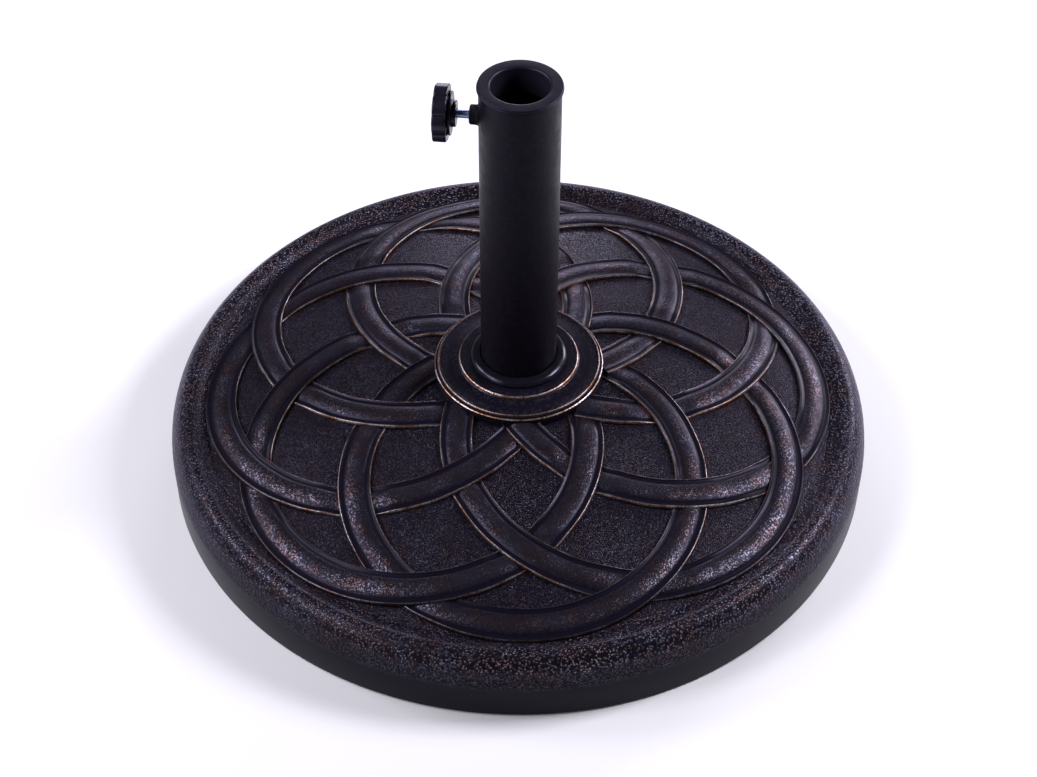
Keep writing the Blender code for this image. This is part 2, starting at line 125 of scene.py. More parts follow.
# Bands
BAND_COUNT = 8
BAND_PHASE = math.radians(7.3)
BAND_ORBIT = 0.394 * BASE_RADIUS
BAND_WIDTH = 23 * MM
BAND_MIDDLE = 0.505 * BASE_RADIUS - BAND_WIDTH / 2
BAND_HALF = BAND_WIDTH / 2
BAND_ARC = math.radians(150)
BAND_STEPS = 230
BAND_HEIGHT = 3.1 * MM
RIDGE_HALF = 7.4 * MM
RIDGE_RISE = 1.7 * MM
GROOVE_DEPTH = 0.7 * MM
BAND_ROOT = 3 * MM
BEAD_WIDTH = 2.1 * MM
OVER_LIFT = 0.6 * MM
UNDER_DROP = 1.7 * MM
WEAVE_REACH = 14 * MM

# Knob
GRIP_RADIUS = 19.3 * MM
THREAD_BORE = 3.2 * MM

# Materials
SPECULAR_TINT = (0.78, 0.74, 1.0, 1.0)


# ---------------------------------------------------------------- mesh helpers


def object_from(name, vertices, faces, material):
    """A mesh object with outward normals."""
    mesh = bpy.data.meshes.new(name)
    mesh.from_pydata([tuple(v) for v in vertices], [], faces)
    shape = bmesh.new()
    shape.from_mesh(mesh)
    bmesh.ops.recalc_face_normals(shape, faces=shape.faces)
    shape.to_mesh(mesh)
    shape.free()
    piece = bpy.data.objects.new(name, mesh)
    bpy.context.scene.collection.objects.link(piece)
    if material:
        mesh.materials.append(material)
    return piece


def smooth(piece, angle):
    """Smooth shading with sharp edges above an angle in degrees."""
    piece.data.shade_smooth()
    piece.data.set_sharp_from_angle(angle=math.radians(angle))


def turned(name, outline, segments, material):
    """A closed outline of (radius, height) points turned round Z; points on the axis become poles."""
    vertices, rows = [], []
    for radius, height in outline:
        if radius < 1e-6:
            rows.append([len(vertices)] * segments)
            vertices.append((0, 0, height))
            continue
        rows.append(list(range(len(vertices), len(vertices) + segments)))
        for i in range(segments):
            turn = 2 * math.pi * i / segments
            vertices.append((radius * math.cos(turn), radius * math.sin(turn), height))
    faces = []
    for k, row in enumerate(rows):
        below = rows[(k + 1) % len(rows)]
        for i in range(segments):
            j = (i + 1) % segments
            loop = [row[i], row[j], below[j], below[i]]
            face = [corner for n, corner in enumerate(loop) if corner not in loop[:n]]
            if len(face) > 2:
                faces.append(face)
    return object_from(name, vertices, faces, material)


def in_metres(points):
    """An outline whose points are in millimetres, in metres."""
    return [(radius * MM, height * MM) for radius, height in points]


def arc(centre, radii, start, end, steps):
    """Points of an ellipse's arc round centre, with angles in degrees from +radius."""
    angles = [math.radians(start + (end - start) * i / steps) for i in range(steps + 1)]
    return [(centre[0] + radii[0] * math.cos(a), centre[1] + radii[1] * math.sin(a)) for a in angles]


def fall(start, end, steps):
    """Points of an S-curve between two (radius, height) points, without its ends."""
    points = []
    for i in range(1, steps):
        share = i / steps
        drop = (1 - math.cos(math.pi * share)) / 2
        points.append((start[0] + (end[0] - start[0]) * share, start[1] + (end[1] - start[1]) * drop))
    return points


def take_away(piece, shape):
    """Cut a bmesh shape out of a piece, and free the shape."""
    mesh = bpy.data.meshes.new("cutter")
    shape.to_mesh(mesh)
    shape.free()
    tool = bpy.data.objects.new("cutter", mesh)
    bpy.context.scene.collection.objects.link(tool)
    cut = piece.modifiers.new("cut", "BOOLEAN")
    cut.operation = "DIFFERENCE"
    cut.object = tool
    evaluated = piece.evaluated_get(bpy.context.evaluated_depsgraph_get())
    piece.data = bpy.data.meshes.new_from_object(evaluated)
    piece.modifiers.clear()
    bpy.data.objects.remove(tool)


def punch(piece, radius, low, high, place):
    """Cut a round hole through a piece, along the local Z of place."""
    shape = bmesh.new()
    bmesh.ops.create_cone(shape, cap_ends=True, segments=48, radius1=radius, radius2=radius, depth=high - low)
    bmesh.ops.translate(shape, verts=shape.verts, vec=(0, 0, (low + high) / 2))
    shape.transform(place)
    take_away(piece, shape)


def dome(radius):
    """Height of the dome's floor at a distance from the axis."""
    return DOME_CROWN - DOME_SPHERE + np.sqrt(DOME_SPHERE**2 - radius**2)


def ease(value):
    """Smooth step of an array from 0 to 1."""
    value = np.clip(value, 0, 1)
    return value * value * (3 - 2 * value)


# ---------------------------------------------------------------- materials


class Look:
    """A Principled material and the few nodes that its colour, roughness and bump are made of."""

    def __init__(self, name, color, roughness, metallic=0.0, specular=0.5):
        self.material = bpy.data.materials.new(name)
        self.material.use_nodes = True
        self.nodes = self.material.node_tree.nodes
        self.links = self.material.node_tree.links
        self.shader = self.nodes["Principled BSDF"]
        self.put("Base Color", (*color, 1.0))
        self.put("Roughness", roughness)
        self.put("Metallic", metallic)
        self.put("Specular IOR Level", specular)
        self.put("Specular Tint", SPECULAR_TINT)
        self.place = self.node("ShaderNodeTexCoord").outputs["Object"]

    def put(self, socket, value):
        """Set or link one of the shader's inputs."""
        if isinstance(value, bpy.types.NodeSocket):
            self.links.new(value, self.shader.inputs[socket])
        else:
            self.shader.inputs[socket].default_value = value

    def node(self, kind, **settings):
        made = self.nodes.new(kind)
        for key, value in settings.items():
            setattr(made, key, value)
        return made

    def feed(self, made, **inputs):
        """Set or link a node's inputs, named by their order as i0, i1 and so on, or by their name."""
        for key, value in inputs.items():
            index = int(key[1:]) if key[0] == "i" and key[1:].isdigit() else key
            socket = made.inputs[index]
            if isinstance(value, bpy.types.NodeSocket):
                self.links.new(value, socket)
            else:
                socket.default_value = value
        return made

    def noise(self, size, detail=2.0, rough=0.5):
        """Noise whose largest feature is about size across, from 0 to 1."""
        made = self.node("ShaderNodeTexNoise")
        self.feed(made, Vector=self.place, Scale=1 / size, Detail=detail, Roughness=rough)
        return made.outputs["Fac"]

    def cells(self, size, smoothness):
        """Distance from the middle of rounded cells about size across."""
        made = self.node("ShaderNodeTexVoronoi", feature="SMOOTH_F1")
        self.feed(made, Vector=self.place, Scale=1 / size, Smoothness=smoothness)
        return made.outputs["Distance"]

    def specks(self, size, share):
        """Random flecks about size across, of which roughly a share of them show."""
        made = self.node("ShaderNodeTexVoronoi")
        self.feed(made, Vector=self.place, Scale=1 / size)
        spread = 0.272
        level = 0.5 + spread * (1 - 2 * share)
        return self.ramp(made.outputs["Color"], level - 0.06, level + 0.12)

    def ramp(self, value, low, high, to_low=0.0, to_high=1.0):
        """Map value from low..high to to_low..to_high, clamped and smooth."""
        made = self.node("ShaderNodeMapRange", interpolation_type="SMOOTHSTEP")
        self.feed(made, i0=value, i1=low, i2=high, i3=to_low, i4=to_high)
        return made.outputs[0]

    def math(self, operation, a, b=0.0):
        made = self.node("ShaderNodeMath", operation=operation)
        self.feed(made, i0=a, i1=b)
        return made.outputs[0]

    def mix(self, share, first, second):
        """Mix of two colours."""
        made = self.node("ShaderNodeMix", data_type="RGBA")
        for socket, value in ((made.inputs[0], share), (made.inputs[6], first), (made.inputs[7], second)):
            if isinstance(value, bpy.types.NodeSocket):
                self.links.new(value, socket)
            elif isinstance(value, tuple):
                socket.default_value = (*value, 1.0)
            else:
                socket.default_value = value
        return made.outputs[2]

    def number_mix(self, share, first, second):
        """Mix of two numbers."""
        made = self.node("ShaderNodeMix", data_type="FLOAT")
        self.feed(made, i0=share, i2=first, i3=second)
        return made.outputs[0]

    def mask(self, name):
        """A mask that is stored on the mesh."""
        made = self.node("ShaderNodeAttribute", attribute_name=name, attribute_type="GEOMETRY")
        return made.outputs["Fac"]

    def bump(self, height, distance, strength=1.0):
        """Relief whose full height is distance."""
        made = self.node("ShaderNodeBump")
        self.feed(made, Strength=strength, Distance=distance, Height=height)
        self.put("Normal", made.outputs[0])


def casting_look():
    """Black-violet paint with bronze rubbed onto the edges, ridges and grain of the casting."""
    paint = (0.0050, 0.0044, 0.0095)
    brown_line, pale_line = (0.42, 0.23, 0.13), (0.80, 0.66, 0.56)
    brown_rub, grey_rub = (0.40, 0.27, 0.25), (0.42, 0.40, 0.50)
    look = Look("bronzed_casting", paint, 0.34, specular=0.15)
    edge, ridge, grain = look.mask("edge"), look.mask("ridge"), look.mask("grain")
    rim, crest, side, plate = look.mask("rim"), look.mask("crest"), look.mask("side"), look.mask("plate")

    def product(first, second):
        return look.math("MULTIPLY", first, second)

    # Grain: raised pebbles, coarse on the rim and fine on the floor
    coarse = look.ramp(look.cells(1.9 * MM, 0.2), 0.55, 0.12)
    fine = look.ramp(look.cells(1.1 * MM, 0.3), 0.60, 0.10)
    raised = look.number_mix(rim, fine, coarse)

    # Rub: how much bronze shows, stronger on the patches that drift over the casting
    drift = look.ramp(look.noise(40 * MM, 2), 0.40, 0.62)
    fine_specks, coarse_specks = look.specks(0.9 * MM, 0.25), look.specks(1.3 * MM, 0.3)
    sheen = look.math("ADD", product(fine_specks, look.number_mix(drift, 0.16, 0.38)), 0.025)
    tips = product(product(raised, raised), look.number_mix(drift, 0.36, 0.55))
    layers = [product(sheen, ridge)]
    layers.append(product(product(fine_specks, grain), 0.12))
    layers.append(product(tips, crest))
    layers.append(product(product(coarse_specks, plate), 0.10))
    worn = look.ramp(look.noise(1.3 * MM, 3, 0.7), 0.36, 0.56, 0.15, 1.0)
    rub = product(edge, worn)
    for layer in layers:
        rub = look.math("MAXIMUM", rub, layer)

    tone = look.ramp(look.noise(14 * MM, 2), 0.38, 0.62)
    bronze = look.mix(edge, look.mix(tone, brown_rub, grey_rub), look.mix(tone, brown_line, pale_line))
    look.put("Base Color", look.mix(rub, paint, bronze))
    look.put("Metallic", look.ramp(rub, 0.0, 0.12))
    look.put("Roughness", look.ramp(edge, 0.0, 0.5, 0.32, 0.42))
    look.put("Specular IOR Level", look.number_mix(side, 0.15, 0.07))

    skin = product(look.noise(1.1 * MM, 2, 0.6), look.ramp(ridge, 0.0, 0.5, 0.15, 0.7))
    relief = look.math("ADD", product(raised, look.math("ADD", grain, rim)), skin)
    look.bump(relief, 0.45 * MM)
    return look.material


def powder_look():
    """Satin powder coat, dark violet-black with a faint brown mottle."""
    look = Look("powder_coat", (0.006, 0.005, 0.007), 0.42, specular=0.13)
    mottle = look.ramp(look.noise(3 * MM, 4, 0.7), 0.42, 0.72)
    look.put("Base Color", look.mix(mottle, (0.0034, 0.0029, 0.0062), (0.0095, 0.0062, 0.0078)))
    look.put("Roughness", look.ramp(look.noise(7 * MM, 2), 0.3, 0.7, 0.34, 0.46))
    look.bump(look.noise(0.9 * MM, 2, 0.6), 0.25 * MM, 0.8)
    return look.material


def plastic_look(name, color, roughness, grain):
    """Moulded plastic or rubber with a fine grain of the given depth."""
    look = Look(name, color, roughness, specular=0.35)
    look.put("Roughness", look.ramp(look.noise(6 * MM, 2), 0.3, 0.7, roughness - 0.05, roughness + 0.07))
    look.bump(look.noise(0.5 * MM, 1), grain)
    return look.material


def bush_look():
    """Satin moulded plastic whose bore is matt and carries painted shade, darker than its collar."""
    collar_color, bore_shade_color = (0.012, 0.0115, 0.019), (0.0050, 0.0048, 0.0095)
    look = Look("bush_plastic", collar_color, 0.36, specular=0.25)
    # The bore mask carries painted shade: the bore's colour darkens down into the hole.
    bore = look.mask("bore")
    look.put("Base Color", look.mix(bore, collar_color, bore_shade_color))
    satin = look.ramp(look.noise(6 * MM, 2), 0.3, 0.7, 0.31, 0.42)
    look.put("Roughness", look.number_mix(bore, satin, 0.7))
    look.bump(look.noise(0.5 * MM, 1), 0.03 * MM)
    return look.material


def rubber_look():
    """Smooth black rubber."""
    look = Look("gasket_rubber", (0.006, 0.006, 0.009), 0.22, specular=0.3)
    look.put("Roughness", look.ramp(look.noise(9 * MM, 2), 0.3, 0.7, 0.18, 0.28))
    look.bump(look.noise(1.5 * MM, 1), 0.02 * MM)
    return look.material


def zinc_look():
    """Bright zinc plate with a blue passivation."""
    look = Look("zinc_plate", (0.42, 0.52, 0.72), 0.25, metallic=1.0)
    look.put("Base Color", look.mix(look.noise(3 * MM, 2), (0.30, 0.45, 0.80), (0.62, 0.68, 0.78)))
    look.put("Roughness", look.ramp(look.noise(1.5 * MM, 2), 0.3, 0.7, 0.16, 0.30))
    return look.material


def cement_look():
    """Pale cast cement."""
    look = Look("cement", (0.42, 0.41, 0.39), 0.95)
    look.put("Base Color", look.mix(look.noise(8 * MM, 4, 0.6), (0.30, 0.29, 0.27), (0.50, 0.49, 0.46)))
    look.bump(look.noise(2 * MM, 3, 0.6), 0.5 * MM)
    return look.material


def nylon_look():
    """Natural nylon."""
    look = Look("nylon", (0.72, 0.70, 0.64), 0.45)
    look.bump(look.noise(0.6 * MM, 1), 0.03 * MM)
    return look.material


# ---------------------------------------------------------------- casting


def disc_outline():
    """Outline of the casting without its bands: rim, dome, stepped boss, tube hole and inside."""
    fillet = 1 * MM
    foot = arc((BASE_RADIUS - fillet, RIM_FOOT + fillet), (fillet, fillet), -90, 0, 4)
    shoulder = arc((BASE_RADIUS - SHOULDER_WIDTH, SIDE_TOP), (SHOULDER_WIDTH, SHOULDER_RISE), 0, 90, 20)
    slope = fall(shoulder[-1], (VALLEY_RADIUS, float(dome(VALLEY_RADIUS))), 14)
    steps = 34
    radii = [VALLEY_RADIUS + (BOSS_RADIUS - VALLEY_RADIUS) * i / steps for i in range(steps + 1)]
    floor = [(radius, float(dome(radius))) for radius in radii]
    boss = in_metres(BOSS_OUTER_RING + BOSS_PLATE + BOSS_INNER_RING + BOSS_SEAT) + [(TUBE_HOLE, BOSS_TOP)]
    under_radii = (60 * MM, 120 * MM, 175 * MM)
    under = [(radius, float(dome(radius)) - SHELL_WALL) for radius in under_radii]
    inner_side = BASE_RADIUS - SHELL_WALL
    inner_round = (20 * MM, 18 * MM)
    ceiling = arc((inner_side - inner_round[0], SIDE_TOP - 6 * MM), inner_round, 90, 0, 6)
    inside = [(TUBE_HOLE, DOME_CROWN - SHELL_WALL)] + under + ceiling + [(inner_side, RIM_FOOT)]
    return foot + shoulder + slope + floor + boss + inside


def band_section():
    """Cross-section of a band as (across, height) points: foot, wall, edge bead, groove and ridge."""
    # Round of the bead, in millimetres: (distance in from the band's edge, depth below its top)
    rounding = ((0.25, 0.45), (0.5, 0.1), (0.85, 0.0), (1.25, 0.15), (1.6, 0.5))
    bead = [(-BAND_HALF, -BAND_ROOT), (-BAND_HALF, 0.0)]
    bead += [(-BAND_HALF + inward * MM, BAND_HEIGHT - depth * MM) for inward, depth in rounding]
    bead += [(-BAND_HALF + BEAD_WIDTH, BAND_HEIGHT - GROOVE_DEPTH)]
    ridge = []
    steps, fullness = 14, 0.75
    for i in range(steps + 1):
        share = -math.cos(math.pi * i / steps)
        rise = RIDGE_RISE * (1 - share * share) ** fullness
        ridge.append((share * RIDGE_HALF, BAND_HEIGHT - GROOVE_DEPTH + rise))
    return bead + ridge + [(-across, height) for across, height in reversed(bead)]


def band_centre(index):
    """Direction of a band's centre from the axis, and the centre's x and y."""
    heading = BAND_PHASE + index * 2 * math.pi / BAND_COUNT
    return heading, BAND_ORBIT * math.cos(heading), BAND_ORBIT * math.sin(heading)


def band_lift(index, x, y):
    """Rise of a band where it crosses over its neighbours, and drop where it passes under them."""
    heading = band_centre(index)[0]
    polar = np.remainder(np.arctan2(y, x) - heading + math.pi, 2 * math.pi) - math.pi
    lift = np.zeros_like(x)
    for step in range(1, BAND_COUNT):
        centre_x, centre_y = band_centre(index + step)[1:]
        clear = np.abs(np.hypot(x - centre_x, y - centre_y) - BAND_MIDDLE) - BAND_HALF
        near = ease(1 - clear / WEAVE_REACH)
        crossing = np.where(polar > 0, step, step - BAND_COUNT)
        faces_it = np.abs(crossing) <= BAND_COUNT / 2
        over = (crossing % 2 == 1) == (crossing > 0)
        lift += np.where(faces_it, near * np.where(over, OVER_LIFT, -UNDER_DROP), 0)
    return np.clip(lift, -UNDER_DROP, OVER_LIFT)


def number_faces(piece, number):
    """Number a piece's faces, so that they can be told apart after the union."""
    mark = piece.data.attributes.new("surface", "INT", "FACE")
    mark.data.foreach_set("value", [number] * len(piece.data.polygons))


def make_band(index, collection):
    """One band as a closed arc, swept round its circle and laid on the dome."""
    heading, centre_x, centre_y = band_centre(index)
    section = np.array(band_section())
    turns = heading + np.linspace(-BAND_ARC, BAND_ARC, BAND_STEPS)
    turn, across = np.meshgrid(turns, section[:, 0], indexing="ij")
    x = centre_x + (BAND_MIDDLE + across) * np.cos(turn)
    y = centre_y + (BAND_MIDDLE + across) * np.sin(turn)
    z = dome(np.hypot(x, y)) + section[:, 1][None, :] + band_lift(index, x, y)
    count = len(section)
    faces = []
    for i in range(BAND_STEPS - 1):
        for j in range(count):
            k = (j + 1) % count
            faces.append((i * count + j, (i + 1) * count + j, (i + 1) * count + k, i * count + k))
    faces.append(tuple(range(count)))
    faces.append(tuple(reversed(range((BAND_STEPS - 1) * count, BAND_STEPS * count))))
    band = object_from("band", np.stack([x, y, z], -1).reshape(-1, 3), faces, None)
    number_faces(band, index + 1)
    bpy.context.scene.collection.objects.unlink(band)
    collection.objects.link(band)


def make_casting(material):
    """The disc with its interlaced bands as one closed mesh."""
    disc = turned("cast_top", disc_outline(), DISC_SEGMENTS, material)
    number_faces(disc, 0)
    bands = bpy.data.collections.new("bands")
    bpy.context.scene.collection.children.link(bands)
    for index in range(BAND_COUNT):
        make_band(index, bands)
    union = disc.modifiers.new("join_bands", "BOOLEAN")
    union.operation = "UNION"
    union.operand_type = "COLLECTION"
    union.collection = bands
    evaluated = disc.evaluated_get(bpy.context.evaluated_depsgraph_get())
    joined = bpy.data.meshes.new_from_object(evaluated)
    disc.modifiers.clear()
    disc.data = joined
    for band in list(bands.objects):
        bpy.data.objects.remove(band)
    bpy.data.collections.remove(bands)
    paint_masks(disc.data)
    return disc


def values_of(items, key, width, kind):
    """One property of all the items as an array, with width numbers for each."""
    values = np.zeros(len(items) * width, dtype=kind)
    items.foreach_get(key, values)
    return values.reshape(-1, width) if width > 1 else values


def band_masks(place, surface):
    """Edge line and ridge of each band at every face corner."""
    x, y, z = place.T
    radius = np.hypot(x, y)
    edge, ridge = np.zeros(len(x)), np.zeros(len(x))
    for index in range(BAND_COUNT):
        own = surface == index + 1
        centre_x, centre_y = band_centre(index)[1:]
        across = np.abs(np.hypot(x - centre_x, y - centre_y) - BAND_MIDDLE)
        height = z - dome(radius) - band_lift(index, x, y)
        from_edge = BAND_HALF - across
        on_top = ease(1 - (from_edge - 0.5 * MM) / (0.45 * MM))
        above_foot = ease((height - 1.1 * MM) / (0.8 * MM))
        dulled = 1 - 0.55 * ease((radius - 175 * MM) / (35 * MM))
        edge = np.where(own, on_top * above_foot * dulled, edge)
        ridge = np.where(own, np.clip(1 - (across / RIDGE_HALF) ** 2, 0, 1), ridge)
    return edge, ridge


def paint_masks(mesh):
    """Corner masks for the casting's material, and removal of the faces' numbers."""
    corner_vertex = values_of(mesh.loops, "vertex_index", 1, np.int32)
    place = values_of(mesh.vertices, "co", 3, float)[corner_vertex]
    totals = values_of(mesh.polygons, "loop_total", 1, np.int32)
    surface = np.repeat(values_of(mesh.attributes["surface"].data, "value", 1, np.int32), totals)
    upward = np.repeat(values_of(mesh.polygons, "normal", 3, float)[:, 2], totals)
    z = place[:, 2]
    radius = np.hypot(place[:, 0], place[:, 1])
    ground = surface == 0

    edge, ridge = band_masks(place, surface)
    for line_radius, spread in BOSS_LINES:
        line = ease(1.3 - np.abs(radius - line_radius) / spread)
        edge = np.where(ground & (z > 80.5 * MM), np.maximum(edge, line), edge)
    on_top = ground & (radius > BOSS_RADIUS + 0.05 * MM) & (upward > -0.1)
    grain = np.where(on_top, ease((z - 27 * MM) / (2 * MM)), 0)
    rim_start = VALLEY_RADIUS - 8 * MM
    rim = grain * ease((radius - rim_start) / (9 * MM))
    crest = rim * ease((z - 35 * MM) / (8 * MM))
    beyond_valley = ground & (radius > VALLEY_RADIUS + 8 * MM)
    side = np.where(beyond_valley, ease((42 * MM - z) / (12 * MM)), 0)
    on_plate = ground & (z > 79 * MM) & (radius > 36 * MM)
    ring_gap = np.minimum(*(np.abs(radius - line_radius) for line_radius, spread in BOSS_LINES[1:]))
    plate = np.where(on_plate, ease(1 - ring_gap / (6 * MM)), 0)
    masks = {"edge": edge, "ridge": ridge, "grain": grain, "rim": rim, "crest": crest, "side": side}
    masks["plate"] = plate
    for name, values in masks.items():
        attribute = mesh.attributes.new(name, "FLOAT", "CORNER")
        attribute.data.foreach_set("value", values.astype(np.float32))
    mesh.attributes.remove(mesh.attributes["surface"])


# ---------------------------------------------------------------- tube, gasket and bush


def make_tube(material):
    """Steel tube with a rolled lower edge and the screw's hole."""
    wall, edge = 1.5 * MM, 0.7 * MM
    inner = TUBE_RADIUS - wall
    outline = [(inner, TUBE_FOOT), (TUBE_RADIUS, TUBE_FOOT)]
    outline += arc((TUBE_RADIUS - edge, TUBE_TOP - edge), (edge, edge), 0, 90, 6) + [(inner, TUBE_TOP)]
    tube = turned("tube_steel", outline, 128, material)
    across = Matrix.Translation((0, 0, SCREW_HEIGHT)) @ Matrix.Rotation(math.radians(-90), 4, "Y")
    punch(tube, THREAD_BORE, TUBE_RADIUS / 2, 2 * TUBE_RADIUS, across)
    return tube


def make_gasket(material):
    """Rubber ring that slopes from the tube down to the boss in one soft swell."""
    inner = TUBE_HOLE
    height = GASKET_TOP - GASKET_FOOT
    lip = 1.1 * MM
    foot = 0.5 * MM
    swell = arc((inner + lip, GASKET_FOOT + foot), (GASKET_RADIUS - inner - lip, height - foot), 0, 90, 14)
    inner_lip = arc((inner + lip, GASKET_TOP - lip), (lip, lip), 90, 180, 6)[1:]
    outline = [(inner, GASKET_FOOT), (GASKET_RADIUS - 0.2 * MM, GASKET_FOOT)] + swell + inner_lip
    return turned("gasket_bead", outline, 128, material)


def make_bush(material):
    """Bush with a creased, rounded collar edge and a soft lip down into the pole's hole."""
    bore = 19.3 * MM
    skirt = TUBE_RADIUS - 1.8 * MM
    collar_foot = BUSH_TOP - 2.5 * MM
    edge, lip, under, chamfer = 0.6 * MM, 1.8 * MM, 0.7 * MM, 0.5 * MM
    crease, crease_radius = BUSH_TOP - 1.15 * MM, BUSH_RADIUS - 1.1 * MM
    outline = [(skirt, collar_foot), (BUSH_RADIUS - under, collar_foot)]
    outline += arc((BUSH_RADIUS - under, crease - under), (under, under * 0.9), 0, 90, 5)
    outline += [(crease_radius, crease), (crease_radius, crease + 0.35 * MM)]
    outline += [(BUSH_RADIUS - 0.5 * MM, crease + 0.4 * MM)]
    outline += arc((BUSH_RADIUS - 0.4 * MM - edge, BUSH_TOP - edge), (edge, edge), 0, 90, 6)
    outline += arc((bore + lip, BUSH_TOP - lip), (lip, lip), 90, 180, 10)
    outline += [(bore, BUSH_FOOT + chamfer), (bore + chamfer, BUSH_FOOT), (skirt - chamfer, BUSH_FOOT)]
    outline += [(skirt, BUSH_FOOT + chamfer)]
    bush = turned("bush_moulding", outline, 128, material)

    # Painted shade: a mask from 0 at the collar's top to 1 a little way down the bore, so the bore is painted
    # darker deeper in.
    inside = []
    fade = 3 * MM
    for corner in bush.data.loops:
        place = bush.data.vertices[corner.vertex_index].co
        near_axis = math.hypot(place.x, place.y) < bore + lip
        inside.append(float(ease((BUSH_TOP - place.z) / fade)) if near_axis else 0.0)
    mask = bush.data.attributes.new("bore", "FLOAT", "CORNER")
    mask.data.foreach_set("value", inside)
    return bush


# ---------------------------------------------------------------- clamping screw


def steady(radius):
    """The same radius at every angle."""
    return lambda turn: radius


def hexagon(half_flats):
    """Radius of a hexagon with a flat towards angle 0."""
    sixth = math.pi / 3
    return lambda turn: half_flats / math.cos((turn + sixth / 2) % sixth - sixth / 2)


def smaller(first, second):
    """The smaller of two outlines at every angle."""
    return lambda turn: min(first(turn), second(turn))


def ringed(name, rings, count, material, closed=True):
    """Rings of (radius at an angle, height) joined in order.

    A closed piece joins the last ring to the first; an open one gets a face over each end ring.
    """
    vertices, faces = [], []
    for radius_at, height in rings:
        for i in range(count):
            turn = 2 * math.pi * i / count
            radius = radius_at(turn)
            rise = height(turn) if callable(height) else height
            vertices.append((radius * math.cos(turn), radius * math.sin(turn), rise))
    last = len(rings) if closed else len(rings) - 1
    for k in range(last):
        above = (k + 1) % len(rings) * count
        for i in range(count):
            j = (i + 1) % count
            faces.append((k * count + i, k * count + j, above + j, above + i))
    if not closed:
        faces.append(tuple(range(count)))
        faces.append(tuple(range((len(rings) - 1) * count, len(rings) * count)))
    return object_from(name, vertices, faces, material)


def thread_rings(low, high, pitch, crest, root, steps=8):
    """Rings of a helical thread that runs out at both ends."""
    flank, crest_width = 4.8, 0.7
    rings = []
    levels = int((high - low) / (pitch / steps))
    for level in range(levels + 1):
        height = low + (high - low) * level / levels
        run_out = max(0.0, min(1.0, (height - low) / pitch, (high - height) / pitch))

        def radius_at(turn, height=height, run_out=run_out):
            share = (height / pitch - turn / (2 * math.pi)) % 1
            depth = max(0.0, min(1.0, flank * abs(share - 0.5) - crest_width))
            return crest - (crest - root) * depth * run_out

        rings.append((radius_at, height))
    return rings


def laid_on_screw_axis(piece):
    """Turn a piece made along +Z so that its +Z points out along -X at the screw's height."""
    turn = Matrix.Rotation(math.radians(-90), 4, "Y")
    piece.data.transform(Matrix.Translation((0, 0, SCREW_HEIGHT)) @ turn)
    return piece


def lobed(radius, share):
    """Radius of the grip's outline: eight rounded lobes, with a share of their full wave."""
    lobes, depth, phase, fullness = 8, 1.8 * MM, math.radians(7.5), 0.6

    def radius_at(turn):
        swell = abs(math.cos(lobes / 2 * (turn - phase))) ** fullness
        return radius - depth * (1 - swell) * share

    return radius_at


def make_grip(material):
    """Lobed grip, dished on its face, with a neck, a flange and a hub towards the tube."""
    front, back = GRIP_FRONT, GRIP_FRONT - 9.1 * MM
    edge, chamfer = 1.1 * MM, 0.5 * MM
    seat, socket = CAP_RADIUS + 0.3 * MM, 6.15 * MM
    cap_seat, head_seat = front - 2.3 * MM, front - 7.6 * MM
    # (radius, height, share of the lobes' waves)
    rings = [(THREAD_BORE, head_seat, 0), (socket, head_seat, 0), (socket, cap_seat, 0), (seat, cap_seat, 0)]
    rings += [(seat, front - 0.3 * MM, 0), (seat + 0.4 * MM, front, 0)]
    # (radius and depth below the front in millimetres, share of the waves) of the dish in the face
    dish = ((10.6, 0.0, 0), (11.4, 0.6, 0), (12.6, 1.0, 0.1), (14.0, 0.8, 0.4), (15.6, 0.1, 0.8))
    rings += [(radius * MM, front - depth * MM, share) for radius, depth, share in dish]
    rounds = arc((GRIP_RADIUS - edge, front - edge), (edge, edge), 90, 0, 6)
    rounds += arc((GRIP_RADIUS - edge, back + edge), (edge, edge), 0, -90, 6)
    rings += [(radius, height, 1) for radius, height in rounds]
    hollow = 1.6 * MM
    rings += [(15.2 * MM, back, 0.7), (14.4 * MM, back + hollow, 0.4), (9.6 * MM, back + hollow, 0)]
    # (radius, distance behind the grip's back) in millimetres of the neck and the flange
    neck = ((9.2, -1.2), (9.2, 0.9), (14.2, 1.0), (14.5, 1.3), (14.5, 2.0), (14.2, 2.3), (9.2, 2.4))
    rings += [(radius * MM, back - drop * MM, 0) for radius, drop in neck]
    hub = 8.8 * MM
    rings += [(hub, back - 2.8 * MM, 0), (hub, HUB_FACE + chamfer, 0), (hub - chamfer, HUB_FACE, 0)]
    rings += [(THREAD_BORE + 0.7 * MM, HUB_FACE, 0), (THREAD_BORE, HUB_FACE + 0.7 * MM, 0)]
    shaped = [(lobed(radius, share), height) for radius, height, share in rings]
    return laid_on_screw_axis(ringed("grip_moulding", shaped, 192, material))


def make_cap(material):
    """Cap in the grip's face with a softly domed top and a moulded ring."""
    top = GRIP_FRONT
    low = top - 2 * MM
    # (radius, height above the grip's front) in millimetres of the dome and the ring round it
    face = ((0, 0.4), (2.5, 0.36), (4.6, 0.2), (4.9, -0.1), (5.3, -0.1), (5.6, 0.1))
    outline = [(radius * MM, top + rise * MM) for radius, rise in face]
    outline += [(CAP_RADIUS - 0.6 * MM, top - 0.05 * MM), (CAP_RADIUS, top - 0.6 * MM)]
    outline += [(CAP_RADIUS, low), (0, low)]
    return laid_on_screw_axis(turned("cap_moulding", outline, 64, material))


